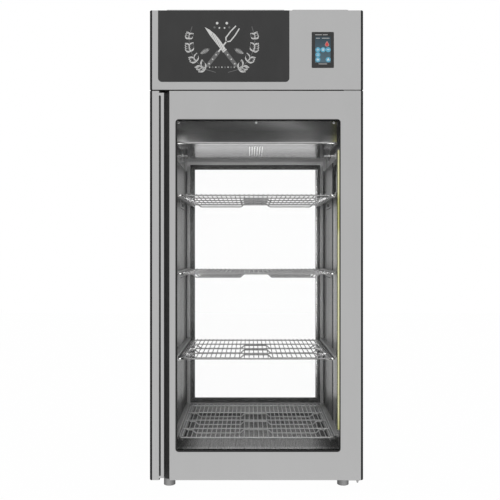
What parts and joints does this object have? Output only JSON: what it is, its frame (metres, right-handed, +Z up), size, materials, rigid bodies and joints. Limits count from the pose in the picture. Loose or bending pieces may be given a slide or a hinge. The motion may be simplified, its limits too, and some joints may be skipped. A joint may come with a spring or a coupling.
{
  "type": "dry aging cabinet",
  "caption": "Upright glazed cabinet for dry aging with a full-height glass door, wire shelves on runners, a rear window and its machine space on top.",
  "frame": {"origin": "on the floor, under the middle of the cabinet's width and depth", "axes": "+Z up, -Y out of the door, +X to the right as seen from the front"},
  "size_m": [0.9, 0.85, 2.0677],
  "materials": {
    "outer_steel": "brushed stainless steel, satin",
    "door_steel": "brushed stainless steel, satin",
    "edge_steel": "satin stainless profile",
    "handle_steel": "satin stainless profile",
    "liner_steel": "bright satin stainless liner",
    "floor_steel": "polished stainless steel",
    "rack_steel": "satin stainless panel",
    "cover_steel": "satin stainless cover",
    "runner_steel": "bright stainless sheet",
    "hinge_steel": "milled stainless steel",
    "casing_steel": "zinc-coated sheet, dull",
    "shelf_wire": "bright drawn stainless wire",
    "light_channel": "anodised, satin",
    "light_diffuser": "milky warm white, satin",
    "trough_plastic": "moulded black, matt",
    "glazing_black": "black edge band, satin",
    "glazing_grey": "grey seal strip, matt",
    "clear_glass": "clear, polished",
    "window_trim": "bright frame strip",
    "gasket_rubber": "soft magnetic gasket, matt",
    "decor_charcoal": "charcoal plate, satin",
    "bezel_black": "black moulded frame, satin",
    "screen_glass": "display glass, glossy",
    "coil_fins": "finned block, bright",
    "motor_black": "moulded black, matt",
    "compressor_black": "black enamel, satin",
    "copper_pipe": "drawn copper, satin",
    "electrical_grey": "grey moulded box, matt",
    "foot_steel": "turned stainless steel"
  },
  "bodies": {
    "cabinet": {"base": "liner_steel", "ceiling": "liner_steel", "side_wall_right": "liner_steel", "side_wall_left": "liner_steel", "rear_wall": "liner_steel", "mouth_frame": "door_steel", "side_skins": "outer_steel", "floor_tray": "floor_steel", "rack_panels": "rack_steel", "rear_panes": "clear_glass", "rear_glazing_bars": "glazing_black", "rear_trim": "glazing_grey", "evaporator_cover": "cover_steel", "fan_plate": "motor_black", "evaporator_coil": "coil_fins", "cover_brackets": "hinge_steel", "light_channels": "light_channel", "light_diffusers": "light_diffuser", "hinge_plates": "hinge_steel", "fascia_panel": "outer_steel", "fascia_end_caps": "edge_steel", "decor_plate": "decor_charcoal", "display_bezel": "bezel_black", "display_screen": "screen_glass", "roof_panel": "outer_steel", "roof_covers": "outer_steel", "casing_back": "casing_steel", "unit_tray": "casing_steel", "condenser": "coil_fins", "fan_shroud": "motor_black", "compressor": "compressor_black", "electrical_box": "electrical_grey", "drier_and_pipes": "copper_pipe", "foot_plates": "hinge_steel", "runners_1": "runner_steel", "runners_2": "runner_steel", "runners_3": "runner_steel", "runners_4": "runner_steel"},
    "door": {"door_skin": "door_steel", "door_core": "door_steel", "door_inner_frame": "door_steel", "door_edges": "edge_steel", "door_handle": "handle_steel", "grip_trough": "trough_plastic", "door_panes": "clear_glass", "door_spacers": "glazing_black", "window_trim": "window_trim", "door_gasket": "gasket_rubber", "hinge_bushes": "trough_plastic"},
    "shelf_1": {"shelf_1": "shelf_wire"},
    "shelf_2": {"shelf_2": "shelf_wire"},
    "shelf_3": {"shelf_3": "shelf_wire"},
    "shelf_4": {"shelf_4": "shelf_wire"},
    "evaporator_fan_left": {"evaporator_fan_left": "motor_black"},
    "evaporator_fan_right": {"evaporator_fan_right": "motor_black"},
    "condenser_fan": {"condenser_fan": "motor_black"},
    "foot_front_left": {"foot_front_left": "foot_steel"},
    "foot_front_right": {"foot_front_right": "foot_steel"},
    "foot_rear_left": {"foot_rear_left": "foot_steel"},
    "foot_rear_right": {"foot_rear_right": "foot_steel"}
  },
  "joints": [
    {"name": "door_hinge", "type": "hinge", "parent": "cabinet", "child": "door", "pos_m": [0.431, -0.394, 0.05], "axis": [0, 0, 1], "range_deg": [0, 110]},
    {"name": "shelf_1_slide", "type": "slide", "parent": "cabinet", "child": "shelf_1", "axis": [0, -1, 0], "range_m": [-0.018, 0.024]},
    {"name": "shelf_2_slide", "type": "slide", "parent": "cabinet", "child": "shelf_2", "axis": [0, -1, 0], "range_m": [-0.018, 0.024]},
    {"name": "shelf_3_slide", "type": "slide", "parent": "cabinet", "child": "shelf_3", "axis": [0, -1, 0], "range_m": [-0.018, 0.024]},
    {"name": "shelf_4_slide", "type": "slide", "parent": "cabinet", "child": "shelf_4", "axis": [0, -1, 0], "range_m": [-0.018, 0.024]},
    {"name": "evaporator_fan_left_spin", "type": "hinge", "parent": "cabinet", "child": "evaporator_fan_left", "pos_m": [-0.16, -0.2026, 1.558], "axis": [0, -1, 0], "continuous": true},
    {"name": "evaporator_fan_right_spin", "type": "hinge", "parent": "cabinet", "child": "evaporator_fan_right", "pos_m": [0.16, -0.2026, 1.558], "axis": [0, -1, 0], "continuous": true},
    {"name": "condenser_fan_spin", "type": "hinge", "parent": "cabinet", "child": "condenser_fan", "pos_m": [-0.23, -0.217, 1.8336], "axis": [0, -1, 0], "continuous": true},
    {"name": "foot_front_left_turn", "type": "hinge", "parent": "cabinet", "child": "foot_front_left", "pos_m": [-0.379, -0.317, 0], "axis": [0, 0, 1], "continuous": true},
    {"name": "foot_front_right_turn", "type": "hinge", "parent": "cabinet", "child": "foot_front_right", "pos_m": [0.379, -0.317, 0], "axis": [0, 0, 1], "continuous": true},
    {"name": "foot_rear_left_turn", "type": "hinge", "parent": "cabinet", "child": "foot_rear_left", "pos_m": [-0.379, 0.327, 0], "axis": [0, 0, 1], "continuous": true},
    {"name": "foot_rear_right_turn", "type": "hinge", "parent": "cabinet", "child": "foot_rear_right", "pos_m": [0.379, 0.327, 0], "axis": [0, 0, 1], "continuous": true}
  ]
}
